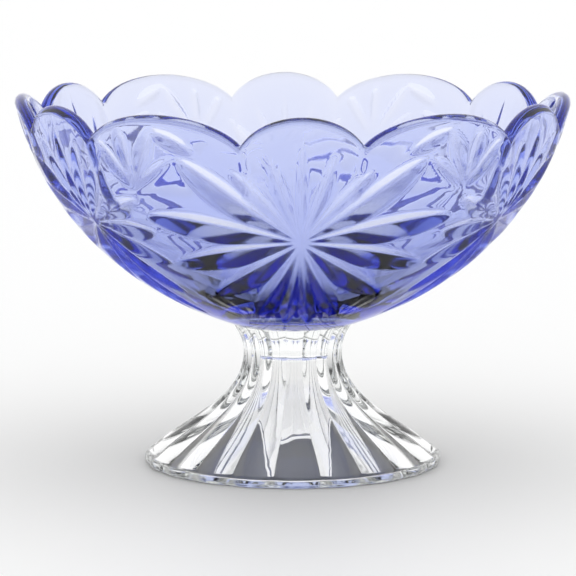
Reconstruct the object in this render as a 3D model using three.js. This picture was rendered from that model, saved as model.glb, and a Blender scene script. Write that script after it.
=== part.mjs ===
// Footed glass bowl: a scalloped bowl bonded to the top of a separate ribbed pedestal foot.
// Millimetres, +Z up. The table is z = 0 and the axis is x = y = 0. A narrow lobe faces -Y.
import * as THREE from "three";

// Driving dimensions
const footHeight = 55.8; // table to the ground top of the foot
const bondThickness = 0.2; // film of clear adhesive
const bondInset = 1.5; // the film stops this far inside the foot's top edge
const bowlDepth = 91; // bowl seat to the top of the lobes
const rimRadius = 110; // axis to the outside of a wide lobe

// Bowl
const seatOverhang = 1; // the bowl's flat seat reaches this far past the foot's top
const seatRise = 17.8; // handle that sets how the belly leaves the seat
const seatReach = 53.1; // the same, outwards
const rimLean = 8.2; // handle that sets how the wall arrives at the rim, inwards
const rimRun = 37.2; // the same, downwards
const wallAtRim = 5.5;
const wallAtFloor = 11;
const lobePairs = 6; // one narrow and one wide lobe in each pair
const narrowHalfAngle = 12.4; // degrees
const narrowInset = 1.8; // a narrow lobe stands this much nearer the axis
const notchDepth = 10.5; // lobe top to the point where two lobes meet
const scallopDepth = 42; // how far below the rim the lobes still bend the wall
const lobeRoundness = 0.9; // 0 is a parabola, 1 a half circle

// Foot
const footTopRadius = 23.5;
const neckRadius = 19.6;
const neckFall = 11.8; // top of the foot down to the neck
const baseRadius = 59;
const baseRingHeight = 3.5;
const baseRingStep = 1.2; // the ribs end this far inside the base ring
const ribCount = 20;
const valleyDepth = 3; // between two ribs at the hem; it shrinks with the radius above
const ringLobeDepth = 0.8; // the base ring follows the ribs this much
const skirtFlare = 0.76; // handle above the hem, as a share of its radius
const skirtFlareHeight = 0.36; // and of the neck's height
const neckDrop = 0.57; // handle below the neck
const hollowTopRadius = 10.5;
const topPlate = 12.8; // glass above the hollow
const hollowDrop = 0.5; // handles of the hollow, in the same way
const hollowFlare = 0.7;
const hollowFlareHeight = 0.28;
const restRingWidth = 4.5; // flat ring that meets the table

// Mesh fineness
const narrowColumns = 8;
const wideColumns = 12;
const wallRows = 14;
const innerRows = 9;
const edgeRows = 4;
const ribColumns = 6;
const footRows = 9;
const hollowRows = 6;
const bondColumns = 48;

// Places worked out from them
const neckHeight = footHeight - neckFall;
const hollowTopHeight = footHeight - topPlate;
const seatHeight = footHeight + bondThickness;
const seatRadius = footTopRadius + seatOverhang;
const rimHeight = seatHeight + bowlDepth;
const edgeRadius = wallAtRim / 2;
const lobePitch = 360 / lobePairs;
const wideHalfAngle = lobePitch / 2 - narrowHalfAngle;

const blueGlass = new THREE.MeshStandardMaterial({
  color: 0x8f9ee6,
  roughness: 0.05,
  metalness: 0,
  transparent: true,
  opacity: 0.6,
});
const clearGlass = new THREE.MeshStandardMaterial({
  color: 0xe9eef0,
  roughness: 0.05,
  metalness: 0,
  transparent: true,
  opacity: 0.4,
});
const clearAdhesive = new THREE.MeshStandardMaterial({
  color: 0xf4f4ee,
  roughness: 0.2,
  metalness: 0,
  transparent: true,
  opacity: 0.5,
});

// A lathe whose rings are then bent: place(point, column) gives each vertex its radius, height
// and azimuth. Azimuth is in degrees from -Y towards +X.
function bentLathe(profile, columns, place) {
  const geometry = new THREE.LatheGeometry(profile, columns);
  const position = geometry.getAttribute("position");
  for (let column = 0; column <= columns; column++) {
    profile.forEach((point, row) => {
      const { radius, height, azimuth } = place(point, column);
      const turn = THREE.MathUtils.degToRad(azimuth);
      const index = column * profile.length + row;
      const x = radius * Math.sin(turn);
      const y = -radius * Math.cos(turn);
      position.setXYZ(index, x, y, height);
    });
  }
  geometry.computeVertexNormals();
  return geometry;
}

// Azimuth and shape of the rim at one column: the arch is 1 at a lobe's top and 0 at a notch.
function lobeAt(column) {
  const columnsInPair = narrowColumns + wideColumns;
  const pair = Math.floor(column / columnsInPair);
  const step = column % columnsInPair;
  const narrow = step <= narrowColumns;
  const half = narrow ? narrowHalfAngle : wideHalfAngle;
  const along = narrow ? step / narrowColumns : (step - narrowColumns) / wideColumns;
  const across = 2 * along - 1;
  const centre = narrow ? 0 : lobePitch / 2;
  const endArch = Math.sqrt(1 - lobeRoundness ** 2);
  const arch = (Math.sqrt(1 - (lobeRoundness * across) ** 2) - endArch) / (1 - endArch);
  return { azimuth: pair * lobePitch + centre + half * across, arch, narrow };
}

// Outside of the wall, from the edge of the seat to the rim.
const outerCurve = new THREE.CubicBezierCurve(
  new THREE.Vector2(seatRadius, seatHeight),
  new THREE.Vector2(seatRadius + seatReach, seatHeight + seatRise),
  new THREE.Vector2(rimRadius - rimLean, rimHeight - rimRun),
  new THREE.Vector2(rimRadius, rimHeight),
);

// The outer curve moved in by the wall's thickness, which thins towards the rim.
function innerPoint(share) {
  const point = outerCurve.getPoint(share);
  const tangent = outerCurve.getTangent(share);
  const thickness = THREE.MathUtils.lerp(wallAtFloor, wallAtRim, share);
  return new THREE.Vector2(
    point.x - tangent.y * thickness,
    point.y + tangent.x * thickness,
  );
}

function bowlProfile() {
  const profile = [new THREE.Vector2(0, seatHeight)];
  for (let row = 0; row <= wallRows; row++) {
    profile.push(outerCurve.getPoint(row / wallRows));
  }
  profile.at(-1).y -= edgeRadius;
  const edgeCentre = new THREE.Vector2(rimRadius - edgeRadius, rimHeight - edgeRadius);
  for (let row = 1; row < edgeRows; row++) {
    const turn = (Math.PI * row) / edgeRows;
    const reach = new THREE.Vector2(Math.cos(turn), Math.sin(turn)).multiplyScalar(edgeRadius);
    profile.push(edgeCentre.clone().add(reach));
  }
  profile.push(new THREE.Vector2(rimRadius - wallAtRim, rimHeight - edgeRadius));
  for (let row = innerRows - 1; row >= 0; row--) {
    profile.push(innerPoint(row / innerRows));
  }
  profile.push(new THREE.Vector2(0, seatHeight + wallAtFloor));
  return profile;
}

// The wall keeps its section and is cut lower towards each notch.
function placeOnBowl(point, column) {
  const { azimuth, arch, narrow } = lobeAt(column);
  const rise = (point.y - (rimHeight - scallopDepth)) / (scallopDepth - edgeRadius);
  const bend = THREE.MathUtils.clamp(rise, 0, 1);
  const height = point.y - notchDepth * (1 - arch) * bend;
  const lean = THREE.MathUtils.lerp(0, notchDepth * (1 - arch), bend) * (rimLean / rimRun);
  const inset = (narrow ? narrowInset * arch : 0) * bend;
  return { radius: Math.max(point.x - lean - inset, 0), height, azimuth };
}

function makeBowl() {
  const columns = lobePairs * (narrowColumns + wideColumns);
  const bowl = new THREE.Mesh(bentLathe(bowlProfile(), columns, placeOnBowl), blueGlass);
  bowl.name = "bowl";
  return bowl;
}

// Outside of the foot, from the base ring up to its top. Every point of it is ribbed.
function skirtPoints() {
  const hemRadius = baseRadius - baseRingStep;
  const skirt = new THREE.CubicBezierCurve(
    new THREE.Vector2(hemRadius, baseRingHeight),
    new THREE.Vector2(hemRadius * skirtFlare, neckHeight * skirtFlareHeight),
    new THREE.Vector2(neckRadius, neckHeight * neckDrop),
    new THREE.Vector2(neckRadius, neckHeight),
  );
  return [...skirt.getPoints(footRows), new THREE.Vector2(footTopRadius, footHeight)];
}

// Inside of the foot, from its top down to the rest ring.
function hollowPoints() {
  const restInner = baseRadius - restRingWidth;
  const hollow = new THREE.CubicBezierCurve(
    new THREE.Vector2(hollowTopRadius, hollowTopHeight),
    new THREE.Vector2(hollowTopRadius, hollowTopHeight * hollowDrop),
    new THREE.Vector2(restInner * hollowFlare, hollowTopHeight * hollowFlareHeight),
    new THREE.Vector2(restInner, 0),
  );
  return hollow.getPoints(hollowRows);
}

// Ribs are round outwards and meet in a sharp valley, so the depth is 0 along a rib's crest.
function makeFoot() {
  const ribbed = skirtPoints();
  const ring = [
    new THREE.Vector2(baseRadius, 0),
    new THREE.Vector2(baseRadius, baseRingHeight),
  ];
  const profile = [
    new THREE.Vector2(0, hollowTopHeight),
    ...hollowPoints(),
    ...ring,
    ...ribbed,
    new THREE.Vector2(0, footHeight),
  ];
  const columns = ribCount * ribColumns;
  const place = (point, column) => {
    const valley = 1 - Math.abs(Math.cos((Math.PI * column) / ribColumns));
    const skirtDepth = ribbed.includes(point) ? valleyDepth * (point.x / baseRadius) : 0;
    const ringDepth = ring.includes(point) ? ringLobeDepth : 0;
    const radius = point.x - (skirtDepth + ringDepth) * valley;
    return { radius, height: point.y, azimuth: (360 * column) / columns };
  };
  const foot = new THREE.Mesh(bentLathe(profile, columns, place), clearGlass);
  foot.name = "foot";
  return foot;
}

function makeBondLayer() {
  const radius = footTopRadius - bondInset;
  const profile = [
    new THREE.Vector2(0, footHeight),
    new THREE.Vector2(radius, footHeight),
    new THREE.Vector2(radius, seatHeight),
    new THREE.Vector2(0, seatHeight),
  ];
  const geometry = new THREE.LatheGeometry(profile, bondColumns).rotateX(Math.PI / 2);
  const bond = new THREE.Mesh(geometry, clearAdhesive);
  bond.name = "bond_layer";
  return bond;
}

const group = new THREE.Group();
group.add(makeFoot(), makeBondLayer(), makeBowl());

export default group;
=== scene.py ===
import math

import bmesh
import bpy
import numpy as np
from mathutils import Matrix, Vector


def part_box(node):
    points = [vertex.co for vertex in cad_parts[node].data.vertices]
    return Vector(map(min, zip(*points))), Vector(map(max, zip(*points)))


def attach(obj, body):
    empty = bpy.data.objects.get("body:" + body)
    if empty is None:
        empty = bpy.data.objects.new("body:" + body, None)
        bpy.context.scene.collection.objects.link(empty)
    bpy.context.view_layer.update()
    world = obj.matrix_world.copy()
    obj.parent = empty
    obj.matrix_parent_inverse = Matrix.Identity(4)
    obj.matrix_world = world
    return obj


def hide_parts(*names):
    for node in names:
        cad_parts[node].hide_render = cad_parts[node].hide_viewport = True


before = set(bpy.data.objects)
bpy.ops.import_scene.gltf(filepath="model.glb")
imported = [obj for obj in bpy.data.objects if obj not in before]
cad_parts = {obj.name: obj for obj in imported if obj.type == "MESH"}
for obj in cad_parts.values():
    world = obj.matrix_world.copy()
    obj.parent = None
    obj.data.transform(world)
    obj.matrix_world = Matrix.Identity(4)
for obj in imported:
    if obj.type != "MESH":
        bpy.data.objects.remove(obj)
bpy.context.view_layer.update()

mm = 0.001
fineSteps = 2000        # points on a curve before it is cut into crowded rows
seamMerge = 0.002       # mm, joins the poles and the seam of a full spin
scene = bpy.context.scene
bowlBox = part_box("bowl")
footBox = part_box("foot")
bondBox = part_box("bond_layer")


# a cubic curve through the plane of the section, as (radius, height) pairs
def cubic(a, b, c, d, count):
    t = np.linspace(0, 1, count)[:, None]
    a, b, c, d = (np.array(p, float) for p in (a, b, c, d))
    return (1 - t) ** 3 * a + 3 * (1 - t) ** 2 * t * b + 3 * (1 - t) * t ** 2 * c + t ** 3 * d


# the same curve cut again so that its points stand evenly along it
def evenly(points, count):
    step = np.hypot(*np.diff(points, axis=0).T)
    along = np.concatenate([[0], np.cumsum(step)])
    wanted = np.linspace(0, along[-1], count)
    return np.column_stack([np.interp(wanted, along, points[:, k]) for k in (0, 1)])


# the same, but with the points drawn together round one height
def evenlyRound(points, count, height, crowding, reach):
    fine = evenly(points, fineSteps)
    weight = 1 + crowding * np.exp(-((fine[:, 1] - height) / reach) ** 2)
    along = np.concatenate([[0], np.cumsum((weight[1:] + weight[:-1]) / 2)])
    wanted = np.linspace(0, along[-1], count)
    return np.column_stack([np.interp(wanted, along, fine[:, k]) for k in (0, 1)])


# spins a section round Z and returns the mesh with its row number on every vertex
def spinSection(section, columns):
    bm = bmesh.new()
    row = bm.verts.layers.int.new("row")
    chain = []
    for index, (radius, height) in enumerate(section):
        vert = bm.verts.new((0, -radius, height))
        vert[row] = index
        chain.append(vert)
    edges = [bm.edges.new(pair) for pair in zip(chain, chain[1:])]
    bmesh.ops.spin(bm, geom=chain + edges, cent=(0, 0, 0), axis=(0, 0, 1), angle=math.tau,
                   steps=columns, use_merge=True, use_duplicate=False)
    bmesh.ops.remove_doubles(bm, verts=bm.verts, dist=seamMerge)
    bmesh.ops.recalc_face_normals(bm, faces=bm.faces)
    return bm


# moves every vertex to where place(radius, height, azimuth, row) says, and keeps how far it lies
# inside a cut (0 to 1) on the vertex; azimuth in degrees from -Y
def reshape(bm, place):
    bm.verts.ensure_lookup_table()
    row = bm.verts.layers.int["row"]
    spot = np.array([v.co for v in bm.verts])
    rows = np.array([v[row] for v in bm.verts])
    radius = np.hypot(spot[:, 0], spot[:, 1])
    azimuth = np.degrees(np.arctan2(spot[:, 0], -spot[:, 1]))
    radius, height, azimuth, cut = place(radius, spot[:, 2], azimuth, rows)
    turn = np.radians(azimuth)
    moved = np.column_stack([radius * np.sin(turn), -radius * np.cos(turn), height])
    dull = bm.verts.layers.float.new("cut")
    for vert, co, share in zip(bm.verts, moved, np.broadcast_to(cut, radius.shape)):
        vert.co = co
        vert[dull] = share


# closes a piece: millimetres to metres, smooth faces, an object at the origin
def finishPiece(name, bm, material):
    bmesh.ops.scale(bm, vec=(mm, mm, mm), verts=bm.verts)
    for face in bm.faces:
        face.smooth = True
    mesh = bpy.data.meshes.new(name)
    bm.to_mesh(mesh)
    bm.free()
    piece = bpy.data.objects.new(name, mesh)
    scene.collection.objects.link(piece)
    mesh.materials.append(material)
    print(name, len(mesh.polygons), "faces")
    return piece


# sRGB hex to the linear colour that sockets take
def hexColour(code):
    parts = [int(code[i:i + 2], 16) / 255 for i in (1, 3, 5)]
    linear = [p / 12.92 if p <= 0.04045 else ((p + 0.055) / 1.055) ** 2.4 for p in parts]
    return (*linear, 1.0)


# one node with its settings, its plain values and its links
def addNode(tree, kind, settings=None, values=None, links=None):
    node = tree.nodes.new(kind)
    for key, value in (settings or {}).items():
        setattr(node, key, value)
    for key, value in (values or {}).items():
        node.inputs[key].default_value = value
    for key, source in (links or {}).items():
        tree.links.new(source, node.inputs[key])
    return node


# Pressed soda-lime glass, tinted blue in the melt. Thin places look pale and thick ones deep blue.
blueGlassLook = {
    "tint": "#5387f4",      # the colour that a deep block of it turns white light to
    "density": 48.0,        # per metre
    "ior": 1.52,
    "roughness": 0.015,
    "cutRoughness": 0.18,   # the cuts keep the mould's own surface and are a little duller
    "waveSize": 9.0,        # mm between the soft ripples a cold mould leaves
    "waveDepth": 0.025,     # mm
}

# Pressed soda-lime glass without a tint. It is colourless but for a faint grey-green in its depth.
clearGlassLook = {
    "tint": "#dfe7e4",
    "density": 5.0,
    "ior": 1.52,
    "roughness": 0.01,
    "waveSize": 7.0,
    "waveDepth": 0.02,
}

# Acrylic adhesive cured under a lamp. A thin clear film, very slightly warm, with a softer skin.
adhesiveLook = {
    "tint": "#f2f0e2",
    "density": 4.0,
    "ior": 1.49,
    "roughness": 0.05,
    "waveSize": 3.0,
    "waveDepth": 0.003,
}


# pressed glass: clear all through, tinted by its own depth, with a skin that ripples a little
def glassMaterial(name, look):
    material = bpy.data.materials.new(name)
    material.use_nodes = True
    tree = material.node_tree
    tree.nodes.clear()
    place = addNode(tree, "ShaderNodeTexCoord")
    ripple = addNode(tree, "ShaderNodeTexNoise",
                     values={"Scale": 1 / (look["waveSize"] * mm), "Detail": 1.5, "Roughness": 0.4},
                     links={"Vector": place.outputs["Object"]})
    skin = addNode(tree, "ShaderNodeBump",
                   values={"Strength": 1.0, "Distance": look["waveDepth"] * mm},
                   links={"Height": ripple.outputs["Fac"]})
    glass = addNode(tree, "ShaderNodeBsdfPrincipled",
                    values={"Base Color": (1, 1, 1, 1), "Roughness": look["roughness"],
                            "IOR": look["ior"], "Transmission Weight": 1.0},
                    links={"Normal": skin.outputs["Normal"]})
    if "cutRoughness" in look:
        cut = addNode(tree, "ShaderNodeAttribute", {"attribute_name": "cut"})
        dull = addNode(tree, "ShaderNodeMapRange",
                       values={"To Min": look["roughness"], "To Max": look["cutRoughness"]},
                       links={"Value": cut.outputs["Fac"]})
        tree.links.new(dull.outputs["Result"], glass.inputs["Roughness"])
    depth = addNode(tree, "ShaderNodeVolumeAbsorption",
                    values={"Color": hexColour(look["tint"]), "Density": look["density"]})
    addNode(tree, "ShaderNodeOutputMaterial",
            links={"Surface": glass.outputs["BSDF"], "Volume": depth.outputs["Volume"]})
    return material


# the bowl is one pressing of blue glass; lengths in mm
bowl = {
    "seatRadius": 24.5,
    "bellyReach": 53.1,     # handles of the outside curve
    "bellyRise": 17.8,
    "rimLean": 8.2,
    "rimRun": 37.2,
    "wallAtRim": 5.5,
    "wallAtFloor": 11.0,
    "lobePairs": 6,
    "narrowHalf": 12.4,     # degrees
    "narrowInset": 1.8,
    "notchDepth": 10.5,
    "scallopDepth": 42.0,
    "lobeRoundness": 0.9,
    "columnsNarrow": 44,
    "columnsWide": 50,
    "columnSpread": 0.68,   # under 1 draws the columns together where a star's cuts meet
    "curveSteps": 400,      # points on the wall's curves before they are cut into rows
    "wallRows": 126,
    "starHeight": 99.5,     # rows are drawn together round this height
    "rowCrowding": 0.9,
    "crowdedReach": 9.0,
    "edgeRows": 9,
    "innerRows": 22,
    "innerBelowEdge": 1.0,  # the inside curve starts this far under the rim's round edge
    "innerFloorFrom": 12.0, # and gives way to the floor at this radius
    "seatRing": 0.5,        # one ring of faces on the seat, as a share of its radius
    "bowlMerge": 0.001,     # joins what a cut has brought together
    "cutSlope": 0.5,        # how steeply both sides of a cut fall
    "cutSoftness": 0.15,    # mm, fire polish on the edges
    "valleySoftness": 0.3,
    "starFullness": 1.3,    # moves the widest place of a cut towards its tip
    "dullFrom": 0.5,        # mm of depth at which a cut is fully dull
    "starRoot": 1.7,        # half width left where the cuts of a star meet
    "fanFullness": 1.2,
    "fanRoot": 0.5,
    "shoulderFullness": 1.0,
    "shoulderRoot": 0.0,
    "leafRoundness": 0.6,   # under 1 rounds the outline of a cut
    "cutTrim": 0.02,        # share of the softness taken off again where there is no cut
    "seatMargin": 1.5,      # cuts fade in from this height above the seat
    "seatFade": 4.0,
    "rimFadeRows": 4,       # and are gone this many rows below the rim
}
uncut = -9.0                # mm, far enough above the skin to mean no cut

# Cuts as (azimuth from the centre, height of the tip, half width), both sides of the centre line.
# A large star stands below every second narrow lobe.
largeStar = {
    "azimuth": 0.0, "height": 98.0,
    "cuts": [(0, 139, 2.0), (7, 133, 2.6), (14.5, 127, 3.8), (26, 131, 5.6), (36.5, 108, 6.2),
             (36, 88, 6.0), (29, 75, 5.8), (18, 65.5, 5.2), (6.5, 61.5, 4.2)],
}
smallStar = {
    "azimuth": 60.0, "height": 101.0,
    "cuts": [(0, 138, 2.2), (7, 134, 2.6), (14, 127, 3.4), (21.5, 114, 4.2), (23, 101, 4.6),
             (22.5, 88, 5.0), (17, 74, 4.8), (7, 63, 4.0)],
}
# A fan stands between them, nearer the small star, and opens towards the wide lobe.
fan = {
    "azimuth": 38.0, "height": 119.0,
    "cuts": [(-11.5, 131.5, 1.8), (-7.5, 142, 3.0), (0.5, 142.5, 2.7), (7.5, 138, 3.0)],
}
# A short leaf runs down the inner shoulder of the wide lobe: two ends and a half width.
shoulderLeaf = {"start": (31.5, 142.0), "end": (22.0, 133.5), "half": 3.2}


# arch of the rim at an azimuth: 1 at the top of a lobe, 0 in a notch
def lobeArch(azimuth):
    pitch = 360 / bowl["lobePairs"]
    folded = np.abs((azimuth + pitch / 2) % pitch - pitch / 2)
    narrow = folded <= bowl["narrowHalf"]
    wideHalf = pitch / 2 - bowl["narrowHalf"]
    across = np.where(narrow, folded / bowl["narrowHalf"], (pitch / 2 - folded) / wideHalf)
    k = bowl["lobeRoundness"]
    floor = math.sqrt(1 - k * k)
    arch = (np.sqrt(1 - (k * across) ** 2) - floor) / (1 - floor)
    return arch, narrow


# even columns moved so that one stands in each notch
def spreadColumns(azimuth):
    pitch = 360 / bowl["lobePairs"]
    count = bowl["columnsNarrow"] + bowl["columnsWide"]
    column = (azimuth % 360) * count / pitch
    pair = np.floor((column + 1e-6) / count)
    step = column - pair * count
    inNarrow = step <= bowl["columnsNarrow"]
    share = 2 * step / bowl["columnsNarrow"] - 1
    spread = bowl["columnSpread"]
    narrowAt = bowl["narrowHalf"] * (spread * share + (1 - spread) * share ** 3)
    wideWidth = pitch - 2 * bowl["narrowHalf"]
    wideAt = bowl["narrowHalf"] + wideWidth * (step - bowl["columnsNarrow"]) / bowl["columnsWide"]
    return pair * pitch + np.where(inNarrow, narrowAt, wideAt)


# depth of one leaf cut: a V that starts narrow, is widest past its middle and runs out at its tip
def leafDepth(across, up, tipAcross, tipUp, half, fullness, root):
    length = math.hypot(tipAcross, tipUp)
    along = (across * tipAcross + up * tipUp) / length
    aside = (across * tipUp - up * tipAcross) / length
    aside = np.hypot(aside, np.minimum(along, 0))
    share = np.clip(along / length, 0, 1) ** fullness
    swell = np.sin(math.pi * share) ** bowl["leafRoundness"]
    width = np.where(share < 0.5, root + (half - root) * swell, half * swell)
    soft = bowl["valleySoftness"]
    return bowl["cutSlope"] * (width - np.sqrt(aside ** 2 + soft ** 2) + soft * 0.5)


# depth of the deepest cut at each place; the pattern comes round once for every two lobe pairs
def cutDepth(azimuth, height, radiusAt, lengthAt):
    halfRepeat = 360 / bowl["lobePairs"]
    folded = np.abs((azimuth + halfRepeat) % (2 * halfRepeat) - halfRepeat)
    radius = radiusAt(height)
    length = lengthAt(height)
    deepest = np.full(len(azimuth), uncut)

    def cut(startAz, startZ, tipAz, tipZ, half, fullness, root):
        across = np.radians(folded - startAz) * radius
        up = length - lengthAt(startZ)
        tipAcross = math.radians(tipAz - startAz) * float(radiusAt(tipZ))
        tipUp = float(lengthAt(tipZ) - lengthAt(startZ))
        depth = leafDepth(across, up, tipAcross, tipUp, half, fullness, root)
        np.maximum(deepest, depth, out=deepest)

    for star in (largeStar, smallStar):
        for offset, tip, half in star["cuts"]:
            for side in ((1, -1) if offset else (1,)):
                cut(star["azimuth"], star["height"], star["azimuth"] + side * offset, tip, half,
                    bowl["starFullness"], bowl["starRoot"])
    for offset, tip, half in fan["cuts"]:
        cut(fan["azimuth"], fan["height"], fan["azimuth"] + offset, tip, half,
            bowl["fanFullness"], bowl["fanRoot"])
    cut(*shoulderLeaf["start"], *shoulderLeaf["end"], shoulderLeaf["half"],
        bowl["shoulderFullness"], bowl["shoulderRoot"])
    soft = bowl["cutSoftness"]
    return 0.5 * (deepest + np.sqrt(deepest ** 2 + soft ** 2)) - soft * bowl["cutTrim"]


def makeBowl(material):
    seatZ = bowlBox[0][2] / mm
    rimZ = bowlBox[1][2] / mm
    rimR = bowlBox[1][0] / mm
    outer = cubic((bowl["seatRadius"], seatZ),
                  (bowl["seatRadius"] + bowl["bellyReach"], seatZ + bowl["bellyRise"]),
                  (rimR - bowl["rimLean"], rimZ - bowl["rimRun"]), (rimR, rimZ),
                  bowl["curveSteps"])
    slope = np.gradient(outer, axis=0)
    slope /= np.hypot(*slope.T)[:, None]
    thick = np.linspace(bowl["wallAtFloor"], bowl["wallAtRim"], bowl["curveSteps"])[:, None]
    inner = outer + np.column_stack([-slope[:, 1], slope[:, 0]]) * thick
    edge = bowl["wallAtRim"] / 2
    topZ = rimZ - edge
    outerWall = evenlyRound(outer[outer[:, 1] <= topZ], bowl["wallRows"], bowl["starHeight"],
                            bowl["rowCrowding"], bowl["crowdedReach"])
    turns = np.linspace(0, math.pi, bowl["edgeRows"])
    shoulder = np.array([outerWall[-1][0], topZ])
    edgeArc = np.column_stack([shoulder[0] - edge + edge * np.cos(turns),
                               topZ + edge * np.sin(turns)])
    underEdge = inner[:, 1] < topZ - bowl["innerBelowEdge"]
    innerLimit = inner[underEdge & (inner[:, 0] > bowl["innerFloorFrom"])][::-1]
    floor = [(0, seatZ + bowl["wallAtFloor"])]
    innerWall = evenly(np.vstack([edgeArc[-1:], innerLimit, floor]), bowl["innerRows"])
    seat = [(0, seatZ), (bowl["seatRadius"] * bowl["seatRing"], seatZ)]
    section = np.vstack([seat, outerWall, edgeArc[1:-1], innerWall])
    firstWall = len(seat)
    lastWall = firstWall + len(outerWall) - 1

    heights = outer[:, 1]
    steps = np.concatenate([[0], np.cumsum(np.hypot(*np.diff(outer, axis=0).T))])

    def radiusAt(z):
        return np.interp(z, heights, outer[:, 0])

    def lengthAt(z):
        return np.interp(z, heights, steps)

    def place(radius, height, azimuth, rows):
        azimuth = spreadColumns(azimuth)
        arch, narrow = lobeArch(azimuth)
        bendFrom = rimZ - bowl["scallopDepth"]
        bend = np.clip((height - bendFrom) / (bowl["scallopDepth"] - edge), 0, 1)
        drop = bowl["notchDepth"] * (1 - arch) * bend
        lean = drop * bowl["rimLean"] / bowl["rimRun"]
        inset = np.where(narrow, bowl["narrowInset"] * arch, 0) * bend
        newHeight = height - drop
        onWall = (rows > firstWall) & (rows <= lastWall)
        depth = np.where(onWall, cutDepth(azimuth, newHeight, radiusAt, lengthAt), 0)
        fadeFoot = np.clip((newHeight - seatZ - bowl["seatMargin"]) / bowl["seatFade"], 0, 1)
        fadeRim = np.clip((lastWall - rows) / bowl["rimFadeRows"], 0, 1)
        depth = depth * fadeFoot * fadeRim
        run = np.interp(newHeight, heights, slope[:, 0])
        rise = np.interp(newHeight, heights, slope[:, 1])
        cut = np.clip(depth / bowl["dullFrom"], 0, 1)
        newRadius = np.maximum(radius - lean - inset - depth * rise, 0)
        return (newRadius, newHeight + depth * run, azimuth, cut)

    columns = bowl["lobePairs"] * (bowl["columnsNarrow"] + bowl["columnsWide"])
    bm = spinSection(section, columns)
    reshape(bm, place)
    bmesh.ops.remove_doubles(bm, verts=bm.verts, dist=bowl["bowlMerge"])
    bmesh.ops.recalc_face_normals(bm, faces=bm.faces)
    return finishPiece("glassBowl", bm, material)


# the foot is one pressing of clear glass, hollow from below; lengths in mm
foot = {
    "topRadius": 23.5,
    "neckRadius": 19.6,
    "neckFall": 11.8,
    "ringHeight": 3.5,
    "ringStep": 1.2,
    "ringRound": 1.0,
    "ringTurns": 5,         # points on each round edge of the ring
    "skirtFlare": 0.76,
    "skirtFlareHeight": 0.36,
    "neckDrop": 0.57,
    "hollowTop": 10.5,
    "topPlate": 12.8,
    "hollowDrop": 0.5,
    "hollowFlare": 0.7,
    "hollowFlareHeight": 0.28,
    "restRing": 4.5,
    "ribs": 20,
    "valleyDepth": 3.0,     # mm at the hem, less with the radius above
    "ringLobeDepth": 0.8,
    "columnsPerRib": 26,
    "skirtRows": 70,
    "topRows": 16,
    "hollowRows": 44,
    "curveSteps": 200,      # points on the long curves before they are cut into rows
    "collarSteps": 60,
    "collarRise": 0.5,      # handle above the neck, as a share of the fall from the top
    "collarIn": 1.0,        # handle below the top: this far in and this far down
    "collarDown": 3.0,
    "topEdge": 0.4,         # small flat round the ground top
    "topRing": 12.0,        # one ring of faces inside it
    "hollowRing": 0.5,      # the same on the hollow's roof, as a share of its radius
}


def makeFoot(material):
    topZ = footBox[1][2] / mm
    baseR = footBox[1][0] / mm
    neckZ = topZ - foot["neckFall"]
    hollowZ = topZ - foot["topPlate"]
    hemR = baseR - foot["ringStep"]
    restR = baseR - foot["restRing"]
    hollow = evenly(cubic((foot["hollowTop"], hollowZ),
                          (foot["hollowTop"], hollowZ * foot["hollowDrop"]),
                          (restR * foot["hollowFlare"], hollowZ * foot["hollowFlareHeight"]),
                          (restR, 0), foot["curveSteps"]), foot["hollowRows"])
    skirt = evenly(cubic((hemR, foot["ringHeight"]),
                         (hemR * foot["skirtFlare"], neckZ * foot["skirtFlareHeight"]),
                         (foot["neckRadius"], neckZ * foot["neckDrop"]),
                         (foot["neckRadius"], neckZ), foot["curveSteps"]), foot["skirtRows"])
    collar = evenly(cubic((foot["neckRadius"], neckZ),
                          (foot["neckRadius"], neckZ + foot["neckFall"] * foot["collarRise"]),
                          (foot["topRadius"] - foot["collarIn"], topZ - foot["collarDown"]),
                          (foot["topRadius"], topZ - foot["topEdge"]), foot["collarSteps"]),
                    foot["topRows"])
    corner = foot["ringRound"]
    turns = np.linspace(0, math.pi / 2, foot["ringTurns"])
    ringLow = np.column_stack([baseR - corner + corner * np.sin(turns),
                               corner - corner * np.cos(turns)])
    ringTop = np.column_stack([baseR - corner + corner * np.cos(turns),
                               foot["ringHeight"] - corner + corner * np.sin(turns)])
    roof = [(0, hollowZ), (foot["hollowTop"] * foot["hollowRing"], hollowZ)]
    top = [(foot["topRadius"] - foot["topEdge"], topZ), (foot["topRing"], topZ), (0, topZ)]
    section = np.vstack([roof, hollow, ringLow, ringTop, skirt, collar[1:], top])
    firstRing = len(roof) + len(hollow)
    firstRibbed = firstRing + len(ringLow) + len(ringTop)
    lastRibbed = firstRibbed + len(skirt) + len(collar) - 1

    def place(radius, height, azimuth, rows):
        ribbed = (rows >= firstRibbed) & (rows <= lastRibbed)
        ring = (rows >= firstRing) & (rows < firstRibbed)
        valley = 1 - np.abs(np.cos(np.radians(azimuth) * foot["ribs"] / 2))
        ringDepth = np.where(ring, foot["ringLobeDepth"], 0)
        depth = np.where(ribbed, foot["valleyDepth"] * radius / baseR, ringDepth)
        return (radius - depth * valley, height, azimuth, 0.0)

    bm = spinSection(section, foot["ribs"] * foot["columnsPerRib"])
    reshape(bm, place)
    return finishPiece("glassFoot", bm, material)


# the bond layer is a film of cured adhesive; lengths in mm
bond = {
    "gap": 0.02,            # left on each side so that two faces never lie in one plane
    "columns": 96,
    "bulgeIn": 0.3,         # where its round edge bends, as shares of half its thickness
    "bulgeUp": 0.4,
}


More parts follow.
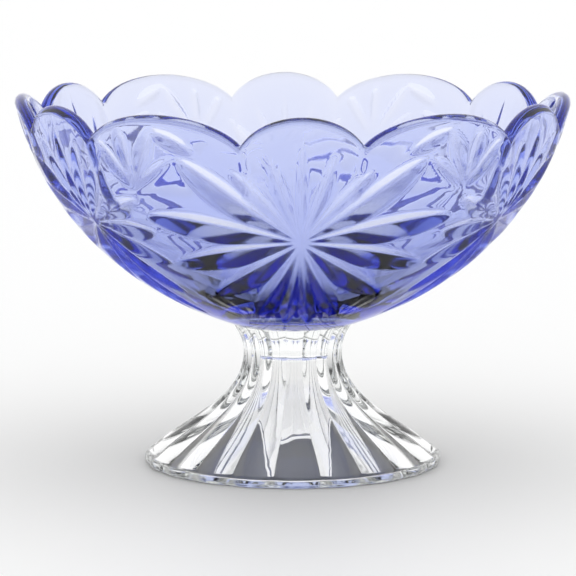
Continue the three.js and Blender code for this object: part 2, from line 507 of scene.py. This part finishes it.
def makeBond(material):
    radius = bondBox[1][0] / mm
    low = bondBox[0][2] / mm + bond["gap"]
    high = bondBox[1][2] / mm - bond["gap"]
    bulge = (high - low) / 2
    bendR = radius - bulge * bond["bulgeIn"]
    bendUp = bulge * bond["bulgeUp"]
    section = [(0, low), (radius - bulge, low), (bendR, low + bendUp),
               (bendR, high - bendUp), (radius - bulge, high), (0, high)]
    return finishPiece("adhesiveFilm", spinSection(section, bond["columns"]), material)


bowlPiece = makeBowl(glassMaterial("pressedBlueGlass", blueGlassLook))
footPiece = makeFoot(glassMaterial("pressedClearGlass", clearGlassLook))
bondPiece = makeBond(glassMaterial("curedAdhesive", adhesiveLook))

for piece, node, slot in ((bowlPiece, "bowl", "blue_glass"), (footPiece, "foot", "clear_glass"),
                          (bondPiece, "bond_layer", "clear_adhesive")):
    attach(piece, "root")
    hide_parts(node)
    piece.visible_shadow = False    # without caustics, glass would throw a solid black shadow
print("pieces made")


# a plain studio: a pale matt floor and soft white light that comes evenly from every side
studio = {
    "floorSize": 8.0,       # metres from its middle to each side
    "floorDrop": 0.0001,    # so that it never lies in one plane with the foot's rest ring
    "floorTone": 0.9,
    "lightStrength": 1.1,
    "cameraAway": 1.3,      # metres
    "cameraHeight": 0.2578,
    "cameraTurn": -1.86,    # degrees round the bowl
    "cameraShiftX": -0.0019,
    "cameraPitch": 8.25,
    "lens": 206.55,
    "sensor": 36,           # mm
    "clipEnd": 50,          # metres
    "glassBounces": 24,     # light crosses both walls of the bowl and of the foot
    "mirrorBounces": 8,
}


def makeFloor():
    bm = bmesh.new()
    bmesh.ops.create_grid(bm, x_segments=1, y_segments=1, size=studio["floorSize"])
    mesh = bpy.data.meshes.new("floor")
    bm.to_mesh(mesh)
    bm.free()
    floor = bpy.data.objects.new("floor", mesh)
    floor.location.z = -studio["floorDrop"]
    scene.collection.objects.link(floor)
    material = bpy.data.materials.new("mattWhiteBoard")
    material.use_nodes = True
    tree = material.node_tree
    tree.nodes.clear()
    tone = studio["floorTone"]
    board = addNode(tree, "ShaderNodeBsdfPrincipled", values={"Base Color": (tone, tone, tone, 1)})
    addNode(tree, "ShaderNodeOutputMaterial", links={"Surface": board.outputs["BSDF"]})
    mesh.materials.append(material)


def makeWorld():
    world = bpy.data.worlds.new("softStudio")
    scene.world = world
    world.use_nodes = True
    tree = world.node_tree
    tree.nodes.clear()
    light = addNode(tree, "ShaderNodeBackground",
                    values={"Color": (1, 1, 1, 1), "Strength": studio["lightStrength"]})
    addNode(tree, "ShaderNodeOutputWorld", links={"Surface": light.outputs["Background"]})


def makeCamera():
    data = bpy.data.cameras.new("camera")
    camera = bpy.data.objects.new("camera", data)
    scene.collection.objects.link(camera)
    turn = math.radians(studio["cameraTurn"])
    away = Vector((studio["cameraShiftX"], -studio["cameraAway"], studio["cameraHeight"]))
    camera.location = (away.x * math.cos(turn) - away.y * math.sin(turn),
                       away.x * math.sin(turn) + away.y * math.cos(turn), away.z)
    camera.rotation_euler = (math.radians(90 - studio["cameraPitch"]), 0, turn)
    data.sensor_width = studio["sensor"]
    data.lens = studio["lens"]
    data.clip_end = studio["clipEnd"]
    scene.camera = camera


makeFloor()
makeWorld()
makeCamera()
scene.view_settings.view_transform = "Standard"
scene.cycles.max_bounces = studio["glassBounces"]
scene.cycles.transmission_bounces = studio["glassBounces"]
scene.cycles.glossy_bounces = studio["mirrorBounces"]
scene.cycles.caustics_reflective = False
scene.cycles.caustics_refractive = False
print("studio made")
